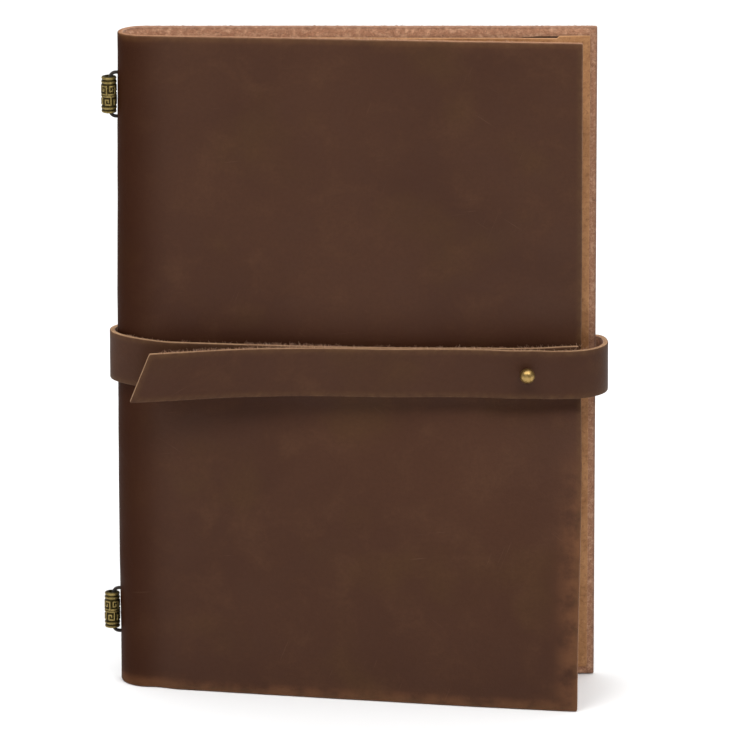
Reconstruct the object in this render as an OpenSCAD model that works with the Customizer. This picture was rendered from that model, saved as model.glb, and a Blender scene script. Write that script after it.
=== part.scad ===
// Refillable notebook cover: one folded sheet of thick leather with an inner pocket, an elastic
// for the inserts threaded through two metal beads at the spine, and a wrap strap with a ball stud.
// The cover stands upright and closed. X runs from the spine to the fore-edge, the front panel
// faces -Y and Z is up. Depths are counted from the back panel's outer face towards the front.

/* [Cover sheet] */
// Height of the cover
cover_h = 230; // [200:1:250]
// Width from the spine to the back panel's fore-edge
back_w = 162; // [150:1:175]
// Thickness of the cover leather
cover_t = 2; // [1.6:0.1:2.4]
// How far the front panel's fore-edge stops short of the back panel's
front_short = 5; // [3:0.5:8]
// Rounding of the free corners
corner_r = 1.5; // [0.5:0.5:4]

/* [Fold and splay] */
// Depth over both panels at the spine, at the foot
fold_depth_foot = 16.3; // [15.5:0.1:17]
// Depth over both panels at the spine, at the head
fold_depth_head = 13.8; // [13.6:0.1:15]
// How far the front panel's fore-edge splays out at the foot
splay_foot = 26.6; // [20:0.2:32]
// How far the front panel's fore-edge splays out at the head
splay_head = 9.8; // [6:0.2:14]
// How far the strap pulls the front panel's fore-edge in
strap_pinch = 2; // [0:0.1:2.4]
// Height of the bulge of the front panel beside the strap
bulge_h = 4; // [1:0.1:4.5]
// Outward bow of the spine line at mid-height
spine_bow = 0.5; // [0.2:0.1:1]

/* [Inner pocket] */
// Thickness of the pocket leather
pocket_t = 1.2; // [1:0.1:1.5]
// Width of the pocket panel
pocket_w = 98; // [92:1:100]
// Margin of the pocket to the back panel's fore-edge
pocket_side_margin = 2.4; // [1.5:0.1:4]
// Margin of the pocket to the head and the foot
pocket_end_margin = 2.8; // [2:0.1:4]
// Room for a card in the pocket
pocket_bow = 1.1; // [0.9:0.1:1.4]
// Distance between two stitches
stitch_pitch = 5; // [4:0.5:8]

/* [Strap] */
// Width of the strap
strap_w = 16.8; // [14:0.2:17.4]
// Thickness of the strap leather
strap_t = 1.8; // [1.6:0.1:1.9]
// Air between the strap and what it lies on
strap_gap = 0.4; // [0.35:0.05:0.5]
// How far the tip of the outer tail lifts off
tip_lift = 7; // [2:0.5:9]
// Length of the slanted cut at the tip
tip_slant = 6.8; // [0:0.2:10]

/* [Beads and elastic] */
// Outer diameter of a bead
bead_d = 5.3; // [5:0.1:5.6]
// Length of a bead
bead_l = 12.8; // [10:0.2:13]
// Diameter of a bead's bore
bead_bore = 2.6; // [2.2:0.1:3]
// Diameter of the elastic cord
elastic_d = 1.2; // [1:0.1:1.3]

/* [Stud] */
// Diameter of the ball
ball_d = 5.2; // [4.5:0.1:6]
// Diameter of the post under the ball
post_d = 2.6; // [2.2:0.1:2.8]
// Diameter of the button hole in the outer tail
button_hole_d = 3.6; // [3.4:0.1:4]

/* [Hidden] */
$fn = 48;

// Ends of the fold: where the back panel, the spine and the front panel meet, along X.
back_x = 9;
back_joint_gap = 0.3;
front_x = 10.5;
front_joint_gap = 0.6;
// How far the splayed foot of the front panel reaches past its drawn-in place.
foot_reach = 1;
// How much the front panel swells between the fold and its free corner at the foot.
foot_swell = 1.5;
front_len = back_w - front_short - front_x;
// Depth of the spine's leftmost line at the foot and at the head.
crest_foot = 6;
crest_head = 7.8;

// Height of the strap's middle at the spine and at the fore-edge, and how its two layers rise and fall.
strap_z_spine = 116.6;
strap_z_fore = 112;
strap_z_inner_end = 112.8;
spine_tilt = 1.5;
tail_rise = 2.6;
tip_droop = 1.2;
stud_rise = 0.7;
press_z = 112.8;
press_half = strap_w / 2 + 0.3;
press_soft = 0.06;
bulge_span = 50;
root_soft = 3;

// Where the strap dives through the back panel's two slits.
slit_a_x = 22;
slit_b_x = 50;
slit_w = 6.6;
slit_h = strap_w + 2;
dive_len = 9;
back_run_d = -(strap_gap + strap_t / 2);
inside_run_d = cover_t + strap_gap + strap_t / 2;

// Strap pieces along X.
loop_back_x = 8.2;
loop_front_x = 9.2;
fore_loop_x = 150;
inner_tail_end = back_w - front_short - 1;
tip_top_x = 10.6;
strap_over = 4.2;
// Slack of the strap where it passes the spine.
loop_slack = 0.5;
stud_x = 138;
stud_z = 113.3;

// Beads and the holes of the elastic, counted from the head and the foot.
bead_from_head = 21.9;
bead_from_foot = 24.7;
bead_zs = [bead_from_foot, cover_h - bead_from_head];
hole_dz = 7.7;
hole_d = 2;
bead_x = crest_x(bead_from_foot) - bead_d / 2 - 0.1;

// The frame's origin is the middle of the bounding box at the foot.
x_min = bead_x - bead_d / 2;
x_max = back_w + strap_over;
deepest = fold_depth_foot + splay_foot;
x_mid = (x_min + x_max) / 2;
y_mid = (strap_gap + strap_t - deepest) / 2;

leather = [0.31, 0.2, 0.155];
strap_leather = [0.32, 0.21, 0.165];
tan_leather = [0.74, 0.58, 0.42];
old_brass = [0.55, 0.48, 0.28];
bright_brass = [0.78, 0.63, 0.36];

// --- Helper functions -------------------------------------------------------------------------

function mix(a, b, t) = a + (b - a) * t;
function ramp(t) = let (c = min(max(t, 0), 1)) c * c * (3 - 2 * c);
// A soft absolute value that is 0 at 0 and 1 at 1.
function soft(t, e) = (sqrt(t * t + e * e) - e) / (sqrt(1 + e * e) - e);
// A point from a place along X, a depth and a height.
function pt(x, depth, z) = [x - x_mid, -depth - y_mid, z];

// --- The folded sheet -------------------------------------------------------------------------

function fold_depth(z) = mix(fold_depth_foot, fold_depth_head, z / cover_h);
function crest_depth(z) = mix(crest_foot, crest_head, z / cover_h);
function crest_x(z) = -spine_bow * sin(180 * z / cover_h);

// A point of the spine's section: side 0 is the outer face, side 1 the inner one.
function spine_pt(phi, z, side) = let (
    end_x = phi < 90 ? back_x - back_joint_gap : front_x - front_joint_gap,
    a = end_x - crest_x(z),
    b = phi < 90 ? crest_depth(z) : fold_depth(z) - crest_depth(z),
    n = [sin(phi) / a, cos(phi) / b],
    k = side * cover_t / norm(n)
) pt(end_x - a * sin(phi) + k * n[0], crest_depth(z) - b * cos(phi) + k * n[1], z);

// How much of the full splay the front panel has at a height: none in the band the strap presses.
function splay_share(z) = let (
    w = z < press_z ? (press_z - press_half - z) / (press_z - press_half)
                    : (z - press_z - press_half) / (cover_h - press_z - press_half)
) 1 - pow(1 - soft(max(w, 0), press_soft), 2.2);
function splay(z) = mix(-strap_pinch, z < press_z ? splay_foot : splay_head, splay_share(z));
function bulge(z) = bulge_h * exp(-pow((z - press_z) / bulge_span, 2));

// Depth of the front panel's outer face at a share u of its length.
function front_depth(u, z) = fold_depth(z) + splay(z) * soft(u * front_len / root_soft, 1)
    / soft(front_len / root_soft, 1) + 4 * bulge(z) * u * (1 - u)
    + foot_swell * exp(-pow(z / 40, 2)) * ramp(u * front_len / 10) * (1 - pow(u, 6));
function front_place(u, z) = front_x + u * (front_len * sqrt(1 - pow(splay(z) / front_len, 2))
    + (z < press_z ? foot_reach * splay_share(z) : 0));
function front_pt(u, z, side) = let (
    step = 0.002,
    slope = atan2(front_depth(u + step, z) - front_depth(u - step, z),
                  front_place(u + step, z) - front_place(u - step, z)),
    k = side * cover_t
) pt(front_place(u, z) + k * sin(slope), front_depth(u, z) - k * cos(slope), z);

// Depth of the front panel's outer face under the strap, from a place along X.
function pressed_depth(x) = front_depth((x - front_x) / front_len, press_z);

// --- Strap ------------------------------------------------------------------------------------

function near_stud(x) = exp(-pow((x - stud_x) / 10, 4));
function inner_tail_depth(x) = pressed_depth(x) + strap_gap + 0.8 * near_stud(x) + strap_t / 2;
function tail_lift(x) = tip_lift * pow(max(0, 95 - x) / 85, 2);
function outer_tail_depth(x) = inner_tail_depth(max(x, 45)) + strap_t + strap_gap
    + 0.4 * near_stud(x) + tail_lift(x) - 0.06 * max(0, 45 - x);
function inner_tail_z(x) = mix(strap_z_spine - spine_tilt, strap_z_inner_end, ramp(x / inner_tail_end))
    + spine_tilt * (1 - ramp(x / 18));
function outer_tail_z(x) = strap_z_fore + tail_rise * ramp((fore_loop_x - x) / 95)
    - tip_droop * ramp((50 - x) / 45) + stud_rise * ramp((fore_loop_x - x) / 10) * ramp((x - 85) / 30);
function back_run_z(x) = mix(strap_z_spine, strap_z_fore, ramp((x - 60) / 80));

// 1 where the strap runs inside the back panel, 0 where it runs outside it.
function inside_share(x) = ramp((x - slit_a_x) / dive_len + 0.5) * ramp((slit_b_x - x) / dive_len + 0.5);
function back_run_depth(x) = mix(back_run_d, inside_run_d, inside_share(x));

// --- Solids from two grids of points ------------------------------------------------------------

// A closed sheet between an outer and an inner grid, each given as rows of points.
module sheet(outer, inner) {
    rows = len(outer);
    cols = len(outer[0]);
    n = rows * cols;
    function id(i, j, side) = i * cols + j + side * n;
    points = concat([for (row = outer) each row], [for (row = inner) each row]);
    quads = concat(
        [for (i = [0:rows - 2], j = [0:cols - 2])
            [id(i, j, 0), id(i, j + 1, 0), id(i + 1, j + 1, 0), id(i + 1, j, 0)]],
        [for (i = [0:rows - 2], j = [0:cols - 2])
            [id(i, j, 1), id(i + 1, j, 1), id(i + 1, j + 1, 1), id(i, j + 1, 1)]],
        [for (i = [0:rows - 2]) [id(i, 0, 1), id(i, 0, 0), id(i + 1, 0, 0), id(i + 1, 0, 1)]],
        [for (i = [0:rows - 2])
            [id(i, cols - 1, 0), id(i, cols - 1, 1), id(i + 1, cols - 1, 1), id(i + 1, cols - 1, 0)]],
        [for (j = [0:cols - 2]) [id(0, j, 0), id(0, j, 1), id(0, j + 1, 1), id(0, j + 1, 0)]],
        [for (j = [0:cols - 2])
            [id(rows - 1, j, 1), id(rows - 1, j, 0), id(rows - 1, j + 1, 0), id(rows - 1, j + 1, 1)]]
    );
    polyhedron(points, [for (q = quads) each [[q[0], q[1], q[2]], [q[0], q[2], q[3]]]]);
}

// A strap along a route of [x, depth, z]: its two faces lie half a thickness to each side.
function route_normal(p, q) = let (d = [q[0] - p[0], q[1] - p[1]]) [-d[1], d[0]] / norm(d);
function strap_edge(top, i, side, dz) = let (
    last = len(top) - 1,
    n = route_normal(top[max(i - 1, 0)], top[min(i + 1, last)]),
    k = (side == 0 ? 1 : -1) * strap_t / 2
) pt(top[i][0] + k * n[0], top[i][1] + k * n[1], top[i][2] + dz);
module strap(top, foot) {
    steps = [0:len(top) - 1];
    grids = [for (side = [0, 1]) [for (i = steps)
        [strap_edge(foot, i, side, -strap_w / 2), strap_edge(top, i, side, strap_w / 2)]]];
    sheet(grids[0], grids[1]);
}
module plain_strap(route) {
    strap(route, route);
}

// --- Sub-parts ----------------------------------------------------------------------------------

module back_cover() {
    len_x = back_w - back_x;
    color(leather)
    translate(pt(back_x, cover_t, 0))
    difference() {
        rotate([90, 0, 0])
        translate([0, 0, -cover_t])
        linear_extrude(cover_t)
        union() {
            square([len_x - corner_r, cover_h]);
            translate([0, corner_r])
            square([len_x, cover_h - 2 * corner_r]);
            for (z = [corner_r, cover_h - corner_r])
                translate([len_x - corner_r, z])
                circle(r = corner_r);
        }
        for (x = [slit_a_x, slit_b_x])
            translate([x - back_x - slit_w / 2, -1, strap_z_spine - slit_h / 2])
            cube([slit_w, cover_t + 2, slit_h]);
    }
}

module spine_fold() {
    color(leather)
    difference() {
        sheet(
            [for (k = [0:12]) [for (phi = [0:7.5:180]) spine_pt(phi, cover_h * k / 12, 0)]],
            [for (k = [0:12]) [for (phi = [0:7.5:180]) spine_pt(phi, cover_h * k / 12, 1)]]
        );
        for (bz = bead_zs, dz = [-hole_dz, hole_dz])
            translate(pt(-3, crest_depth(bz + dz), bz + dz))
            rotate([0, 90, 0])
            cylinder(d = hole_d, h = 8);
    }
}

module front_cover() {
    rows = 32;
    cols = 22;
    color(leather)
    sheet(
        [for (k = [0:rows]) [for (i = [0:cols]) front_pt(i / cols, cover_h * k / rows, 0)]],
        [for (k = [0:rows]) [for (i = [0:cols]) front_pt(i / cols, cover_h * k / rows, 1)]]
    );
}

pocket_x = back_w - pocket_side_margin - pocket_w;
pocket_h = cover_h - 2 * pocket_end_margin;
// Depth of the pocket panel's free face, at shares of its width and its height.
function pocket_depth(s, t) = cover_t + pocket_t + pocket_bow * pow(sin(180 * s), 0.6) * ramp(t * 4);
function pocket_pt(s, t, side) = pt(
    pocket_x + s * pocket_w,
    pocket_depth(s, t) - side * pocket_t,
    pocket_end_margin + t * pocket_h
);
module inner_pocket() {
    color(tan_leather)
    sheet(
        [for (k = [0:16]) [for (i = [0:20]) pocket_pt(i / 20, k / 16, 0)]],
        [for (k = [0:16]) [for (i = [0:20]) pocket_pt(i / 20, k / 16, 1)]]
    );
}

// Short thread stitches that lie on the pocket, down both its sides and along its foot.
thread_d = 0.6;
stitch_inset = 4.6;
stitch_l = stitch_pitch * 0.6;
module stitch(s, t, turn) {
    lie = 0.06;
    depth = pocket_depth(s, t) + thread_d / 2 + lie;
    translate(pt(pocket_x + s * pocket_w, depth, pocket_end_margin + t * pocket_h))
    rotate([0, turn, 0])
    cylinder(d = thread_d, h = stitch_l, center = true);
}
module pocket_stitching() {
    side = stitch_inset / pocket_w;
    foot = stitch_inset / pocket_h;
    color(tan_leather) {
        for (s = [side, 1 - side], z = [2 * stitch_inset:stitch_pitch:pocket_h - 2 * stitch_inset])
            stitch(s, z / pocket_h, 0);
        for (x = [2 * stitch_inset + 2:stitch_pitch:pocket_w - 2 * stitch_inset - 2])
            stitch(x / pocket_w, foot, 90);
    }
}

// The elastic: outside through each bead, inside along the whole spine, as one closed loop. Its route's
// points are places along X, depths from the spine's crest and heights.
function bead_turn(bz, up, side) = [
    [bead_x + 0.45, 0, bz + up * 5.6], [bead_x + 0.55, 0, bz + up * 6.5], [-1.7, 0, bz + up * 7.35],
    [-0.7, 0, bz + up * hole_dz], [0.6, 0, bz + up * hole_dz], [2.6, 0, bz + up * hole_dz],
    [4, side * 0.7, bz + up * 7.5]
];
function reversed(list) = [for (i = [len(list) - 1:-1:0]) list[i]];
run_x = 4.6;
run_d = 1.6;
elastic_route = concat(
    bead_turn(bead_zs[1], 1, 1),
    [for (z = [bead_zs[1] + 4, 150, 82, bead_zs[0] - 4]) [run_x, run_d, z]],
    reversed(bead_turn(bead_zs[0], -1, 1)),
    bead_turn(bead_zs[0], 1, -1),
    [for (z = [bead_zs[0] + 14, 82, 150, bead_zs[1] - 14]) [run_x, -run_d, z]],
    reversed(bead_turn(bead_zs[1], -1, -1))
);
function around(list, i) = list[(i + len(list)) % len(list)];
function spline(a, b, c, d, t) = 0.5 * (2 * b + (c - a) * t
    + (2 * a - 5 * b + 4 * c - d) * t * t + (3 * b - a - 3 * c + d) * t * t * t);
module spine_elastic() {
    sides = 8;
    smooth = [for (i = [0:len(elastic_route) - 1], t = [0, 0.5])
        spline(around(elastic_route, i - 1), elastic_route[i], around(elastic_route, i + 1),
            around(elastic_route, i + 2), t)];
    path = [for (p = smooth) pt(p[0], crest_depth(p[2]) + p[1], p[2])];
    n = len(path);
    rings = [for (i = [0:n - 1]) let (
        t = around(path, i + 1) - around(path, i - 1),
        a = cross(t, [0, 1, 0]) / norm(cross(t, [0, 1, 0])),
        b = cross(t, a) / norm(t)
    ) [for (k = [0:sides - 1]) let (turn = 360 * k / sides)
        path[i] + elastic_d / 2 * (cos(turn) * a + sin(turn) * b)]];
    function id(i, k) = (i % n) * sides + k % sides;
    color("#2b2420")
    polyhedron([for (r = rings) each r], [for (i = [0:n - 1], k = [0:sides - 1]) each [
        [id(i, k), id(i + 1, k + 1), id(i + 1, k)],
        [id(i, k), id(i, k + 1), id(i + 1, k + 1)]
    ]]);
}

// A barrel bead with two ring ridges at each end.
module bead() {
    r = bead_d / 2;
    h = bead_l / 2;
    color(old_brass)
    rotate_extrude()
    difference() {
        union() {
            translate([0, -h])
            square([r - 0.35, bead_l]);
            for (z = [-h + 0.55, -h + 1.9, h - 1.9, h - 0.55])
                translate([r - 0.55, z])
                circle(d = 1.1);
            translate([0, -h + 2.5])
            square([r, bead_l - 5]);
        }
        translate([-1, -h - 1])
        square([1 + bead_bore / 2, bead_l + 2]);
    }
}
module upper_bead() {
    translate(pt(bead_x, crest_depth(bead_zs[1]), bead_zs[1]))
    bead();
}
module lower_bead() {
    translate(pt(bead_x, crest_depth(bead_zs[0]), bead_zs[0]))
    bead();
}

module strap_back_run() {
    color(strap_leather)
    plain_strap([for (x = [fore_loop_x:-1.5:back_x + 0.1]) [x, back_run_depth(x), back_run_z(x)]]);
}

// The strap round the spine: two quarter arcs that meet at the crest.
module strap_spine_loop() {
    crest = [crest_x(strap_z_spine) - strap_gap - loop_slack - strap_t / 2, crest_depth(strap_z_spine)];
    front = inner_tail_depth(loop_front_x + 1.4);
    color(strap_leather)
    plain_strap([for (phi = [0:7.5:180]) let (
        end_x = phi < 90 ? loop_back_x : loop_front_x,
        end_d = phi < 90 ? back_run_d : front,
        x = end_x - (end_x - crest[0]) * sin(phi)
    ) [x, crest[1] - abs(end_d - crest[1]) * cos(phi), phi < 90 ? strap_z_spine : inner_tail_z(x)]]);
}

// The stud's axis stands square on the inner tail.
stud_face_d = inner_tail_depth(stud_x) + strap_t / 2;
stud_turn = atan2(inner_tail_depth(stud_x - 1) - inner_tail_depth(stud_x + 1), 2);
module along_stud() {
    translate(pt(stud_x, stud_face_d, stud_z))
    rotate([90, 0, stud_turn])
    children();
}
module stud_hole(d) {
    along_stud()
    cylinder(d = d, h = 20, center = true);
}

module strap_inner_tail() {
    color(strap_leather)
    difference() {
        plain_strap([for (x = [front_x + 0.1:4:inner_tail_end]) [x, inner_tail_depth(x), inner_tail_z(x)]]);
        stud_hole(post_d + 0.1);
    }
}

// The strap round the fore-edge: straight past the back panel, a tight corner, and a wide one to the tail.
fore_start_d = outer_tail_depth(fore_loop_x);
fore_crest_d = 6.5;
module strap_fore_loop() {
    crest = x_max - strap_t / 2;
    start_x = fore_loop_x + 0.3;
    color(strap_leather)
    plain_strap(concat(
        [for (phi = [90:-7.5:0]) [start_x + (crest - start_x) * pow(cos(phi), 0.85),
            mix(fore_crest_d, fore_start_d, sin(phi)), strap_z_fore]],
        [for (phi = [7.5:7.5:90]) [back_w + (crest - back_w) * cos(phi),
            mix(fore_crest_d, back_run_d, sin(phi)), strap_z_fore]],
        [[start_x, back_run_d, strap_z_fore]]
    ));
}

module strap_outer_tail() {
    steps = 36;
    color(strap_leather)
    difference() {
        strap(
            [for (i = [0:steps]) let (x = mix(fore_loop_x, tip_top_x, i / steps))
                [x, outer_tail_depth(x), outer_tail_z(x)]],
            [for (i = [0:steps]) let (x = mix(fore_loop_x, tip_top_x - tip_slant, i / steps))
                [x, outer_tail_depth(x), outer_tail_z(x)]]
        );
        stud_hole(button_hole_d);
    }
}

// The ball stud stands on the inner tail: its flange lies on the face, the ball outside the outer tail.
stud_lie = 0.06;
module stud_ball() {
    flange_d = 5.6;
    flange_t = 0.4;
    neck_l = strap_t + strap_gap + 0.8;
    sunk = ball_d / 2 - sqrt(pow(ball_d / 2, 2) - pow(post_d / 2, 2));
    color(bright_brass)
    along_stud()
    translate([0, 0, stud_lie])
    union() {
        cylinder(d = flange_d, h = flange_t);
        cylinder(d = post_d, h = neck_l);
        translate([0, 0, neck_l + ball_d / 2 - sunk])
        sphere(d = ball_d);
    }
}
module stud_screw() {
    head_d = 6.4;
    head_t = 0.6;
    shank_l = strap_t + 2 * stud_lie;
    color(bright_brass)
    along_stud()
    union() {
        translate([0, 0, stud_lie - shank_l])
        cylinder(d = post_d, h = shank_l);
        translate([0, 0, stud_lie - shank_l - head_t])
        cylinder(d = head_d, h = head_t);
    }
}

back_cover();
spine_fold();
front_cover();
inner_pocket();
pocket_stitching();
spine_elastic();
upper_bead();
lower_bead();
strap_back_run();
strap_spine_loop();
strap_inner_tail();
strap_fore_loop();
strap_outer_tail();
stud_ball();
stud_screw();
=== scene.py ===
"""The looks of a leather notebook cover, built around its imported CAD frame."""

import math
import random

import bmesh
import bpy
import numpy as np
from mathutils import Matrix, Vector


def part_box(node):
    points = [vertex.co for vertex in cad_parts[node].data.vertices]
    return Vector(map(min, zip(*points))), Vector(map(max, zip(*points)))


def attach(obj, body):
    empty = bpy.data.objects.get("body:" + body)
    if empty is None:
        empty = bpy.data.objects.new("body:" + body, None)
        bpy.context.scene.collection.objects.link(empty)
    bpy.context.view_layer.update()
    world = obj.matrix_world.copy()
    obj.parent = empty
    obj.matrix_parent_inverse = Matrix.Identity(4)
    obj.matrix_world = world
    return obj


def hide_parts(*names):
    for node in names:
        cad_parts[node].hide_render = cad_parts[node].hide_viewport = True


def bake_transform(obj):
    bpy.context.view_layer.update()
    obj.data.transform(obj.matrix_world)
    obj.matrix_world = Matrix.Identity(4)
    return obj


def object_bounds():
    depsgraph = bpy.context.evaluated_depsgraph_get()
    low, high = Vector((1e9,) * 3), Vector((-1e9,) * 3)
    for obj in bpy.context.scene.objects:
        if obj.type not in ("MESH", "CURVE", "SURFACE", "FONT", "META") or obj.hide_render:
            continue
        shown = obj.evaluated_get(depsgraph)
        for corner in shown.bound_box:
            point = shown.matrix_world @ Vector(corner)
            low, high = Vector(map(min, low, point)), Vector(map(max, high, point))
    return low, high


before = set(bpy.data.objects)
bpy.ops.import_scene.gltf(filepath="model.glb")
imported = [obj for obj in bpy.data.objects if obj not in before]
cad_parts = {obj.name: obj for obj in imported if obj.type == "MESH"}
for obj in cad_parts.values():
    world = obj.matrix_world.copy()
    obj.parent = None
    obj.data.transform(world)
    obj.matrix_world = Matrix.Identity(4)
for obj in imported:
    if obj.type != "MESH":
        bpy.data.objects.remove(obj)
cad_lo, cad_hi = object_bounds()

MM = 0.001

# --- Sizes, in millimetres ---
# The design's own axes: x from the spine to the fore-edge, depth from the back panel's outer face
# towards the front, z up from the foot.

BACK_W = 162.0
back_lo, back_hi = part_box("back_cover")
COVER_H = (back_hi.z - back_lo.z) / MM
COVER_T = (back_hi.y - back_lo.y) / MM
ORIGIN_X = back_hi.x / MM - BACK_W
ORIGIN_Y = back_hi.y / MM
CORNER_R = 0.6

FOLD_FOOT, FOLD_HEAD = 16.3, 13.8
CREST_FOOT, CREST_HEAD = 6.0, 7.8
SPLAY_FOOT, SPLAY_HEAD, SPLAY_POWER = 26.6, 9.8, 2.2
STRAP_PINCH = 2.0
BULGE_H, BULGE_SPAN = 4.0, 50.0
SPINE_BOW = 0.5
SPINE_BACK_X, SPINE_FRONT_X = 8.7, 9.9
FRONT_X = 10.5
FRONT_LEN = BACK_W - 5.0 - FRONT_X
ROOT_SOFT = 3.0
FOOT_REACH, FOOT_SWELL, FOOT_SWELL_SPAN = 1.0, 1.5, 40.0

STRAP_W, STRAP_T, STRAP_GAP = 16.8, 1.8, 0.4
STRAP_Z_SPINE, STRAP_Z_FORE, STRAP_Z_INNER_END = 116.6, 112.0, 112.8
SPINE_TILT, TAIL_RISE, TIP_DROOP, STUD_RISE, LOOP_SLACK = 1.5, 2.6, 1.2, 0.7, 0.5
PRESS_Z = 112.8
PRESS_HALF = STRAP_W / 2 + 0.3
PRESS_SOFT = 0.06
SLIT_A_X, SLIT_B_X, SLIT_W, SLIT_H = 22.0, 50.0, 6.6, STRAP_W + 2
DIVE_LEN = 9.0
BACK_RUN_D = -(STRAP_GAP + STRAP_T / 2)
INSIDE_RUN_D = COVER_T + STRAP_GAP + STRAP_T / 2
LOOP_BACK_X, LOOP_FRONT_X = 8.2, 9.2
FORE_LOOP_X = 150.0
FORE_CREST_D = 6.5
INNER_TAIL_END = BACK_W - 6.0
TIP_TOP_X, TIP_SLANT, TIP_LIFT = 10.6, 6.8, 7.0
TIP_LIFT_FROM, TIP_LIFT_SPAN = 95, 85
STUD_X, STUD_Z = 138.0, 113.3
STUD_REACH, STUD_LIFT_INNER, STUD_LIFT_OUTER = 10, 0.8, 0.4
BUTTON_HOLE_R = 1.5

BEAD_D, BEAD_L, BEAD_BORE = 5.3, 12.8, 2.6
BEAD_ZS = (24.7, COVER_H - 21.9)
ELASTIC_D = 1.2
ELASTIC_HOLE_DZ, ELASTIC_HOLE_R = 7.7, 1.0

POCKET_T, POCKET_W, POCKET_BOW = 1.2, 98.0, 1.1
POCKET_X = BACK_W - 2.4 - POCKET_W
POCKET_Z = 2.8
POCKET_H = COVER_H - 2 * POCKET_Z


def place(x, depth, z):
    """The row frame's coordinates, in metres, of points in the design's axes."""
    return np.stack([x + ORIGIN_X, ORIGIN_Y - depth, z + 0 * x], axis=-1) * MM


def mix(a, b, t):
    return a + (b - a) * t


def ramp(t):
    c = np.clip(t, 0, 1)
    return c * c * (3 - 2 * c)


def soft(t, e):
    return (np.sqrt(t * t + e * e) - e) / (math.sqrt(1 + e * e) - e)


# --- The folded sheet, as the CAD has it ---


def fold_depth(z):
    return mix(FOLD_FOOT, FOLD_HEAD, z / COVER_H)


def crest_depth(z):
    return mix(CREST_FOOT, CREST_HEAD, z / COVER_H)


def crest_x(z):
    return -SPINE_BOW * np.sin(np.pi * z / COVER_H)


def spine_face(phi, z):
    """The spine's outer face and its inward direction; phi is 0 at the back and pi at the front."""
    behind = phi < np.pi / 2
    end_x = np.where(behind, SPINE_BACK_X, SPINE_FRONT_X)
    a = end_x - crest_x(z)
    b = np.where(behind, crest_depth(z), fold_depth(z) - crest_depth(z))
    nx, nd = np.sin(phi) / a, np.cos(phi) / b
    size = np.hypot(nx, nd)
    return end_x - a * np.sin(phi), crest_depth(z) - b * np.cos(phi), z, nx / size, nd / size


def splay_share(z):
    below = (PRESS_Z - PRESS_HALF - z) / (PRESS_Z - PRESS_HALF)
    above = (z - PRESS_Z - PRESS_HALF) / (COVER_H - PRESS_Z - PRESS_HALF)
    return 1 - (1 - soft(np.maximum(np.maximum(below, above), 0), PRESS_SOFT)) ** SPLAY_POWER


def splay(z):
    return mix(-STRAP_PINCH, np.where(z < PRESS_Z, SPLAY_FOOT, SPLAY_HEAD), splay_share(z))


def front_depth(u, z):
    bulge = BULGE_H * np.exp(-(((z - PRESS_Z) / BULGE_SPAN) ** 2))
    root = soft(u * FRONT_LEN / ROOT_SOFT, 1) / soft(FRONT_LEN / ROOT_SOFT, 1)
    swell = FOOT_SWELL * np.exp(-((z / FOOT_SWELL_SPAN) ** 2)) * ramp(u * FRONT_LEN / 10) * (1 - u ** 6)
    return fold_depth(z) + splay(z) * root + 4 * bulge * u * (1 - u) + swell


def front_face(u, z):
    """Outer face of the front panel and its inward direction; u is 0 at the fold, 1 at the fore-edge."""
    reach = FRONT_LEN * np.sqrt(1 - (splay(z) / FRONT_LEN) ** 2)
    reach = reach + np.where(z < PRESS_Z, FOOT_REACH * splay_share(z), 0)
    step = 0.002
    slope = np.arctan2(front_depth(u + step, z) - front_depth(u - step, z), 2 * step * reach)
    return FRONT_X + u * reach, front_depth(u, z), z, np.sin(slope), -np.cos(slope)


def pressed_depth(x):
    return front_depth((x - FRONT_X) / FRONT_LEN, np.full_like(x, PRESS_Z))


# --- The strap's route ---


def near_stud(x):
    return np.exp(-(((x - STUD_X) / STUD_REACH) ** 4))


def inner_tail_depth(x):
    return pressed_depth(x) + STRAP_GAP + STUD_LIFT_INNER * near_stud(x) + STRAP_T / 2


def outer_tail_depth(x):
    lift = TIP_LIFT * (np.maximum(0, TIP_LIFT_FROM - x) / TIP_LIFT_SPAN) ** 2
    below = inner_tail_depth(np.maximum(x, 45))
    return (below + STRAP_T + STRAP_GAP + STUD_LIFT_OUTER * near_stud(x) + lift
            - 0.06 * np.maximum(0, 45 - x))


def inner_tail_z(x):
    level = mix(STRAP_Z_SPINE - SPINE_TILT, STRAP_Z_INNER_END, ramp(x / INNER_TAIL_END))
    return level + SPINE_TILT * (1 - ramp(x / 18))


def outer_tail_z(x):
    rise = STUD_RISE * ramp((FORE_LOOP_X - x) / 10) * ramp((x - 85) / 30)
    return STRAP_Z_FORE + TAIL_RISE * ramp((FORE_LOOP_X - x) / 95) - TIP_DROOP * ramp((50 - x) / 45) + rise


def back_run_z(x):
    return mix(STRAP_Z_SPINE, STRAP_Z_FORE, ramp((x - 60) / 80))


def back_run_depth(x):
    inside = ramp((x - SLIT_A_X) / DIVE_LEN + 0.5) * ramp((SLIT_B_X - x) / DIVE_LEN + 0.5)
    return mix(BACK_RUN_D, INSIDE_RUN_D, inside)


def spine_loop_route(phi0, phi1):
    phi = np.radians(np.linspace(phi0, phi1, 25))
    crest = crest_x(STRAP_Z_SPINE) - STRAP_GAP - LOOP_SLACK - STRAP_T / 2
    middle = crest_depth(STRAP_Z_SPINE)
    front = inner_tail_depth(np.array([LOOP_FRONT_X + 1.4]))[0]
    end_x = np.where(phi < np.pi / 2, LOOP_BACK_X, LOOP_FRONT_X)
    end_d = np.where(phi < np.pi / 2, BACK_RUN_D, front)
    x = end_x - (end_x - crest) * np.sin(phi)
    d = middle - abs(end_d - middle) * np.cos(phi)
    return np.stack([x, d, np.where(phi < np.pi / 2, STRAP_Z_SPINE, inner_tail_z(x))], axis=1)


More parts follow.
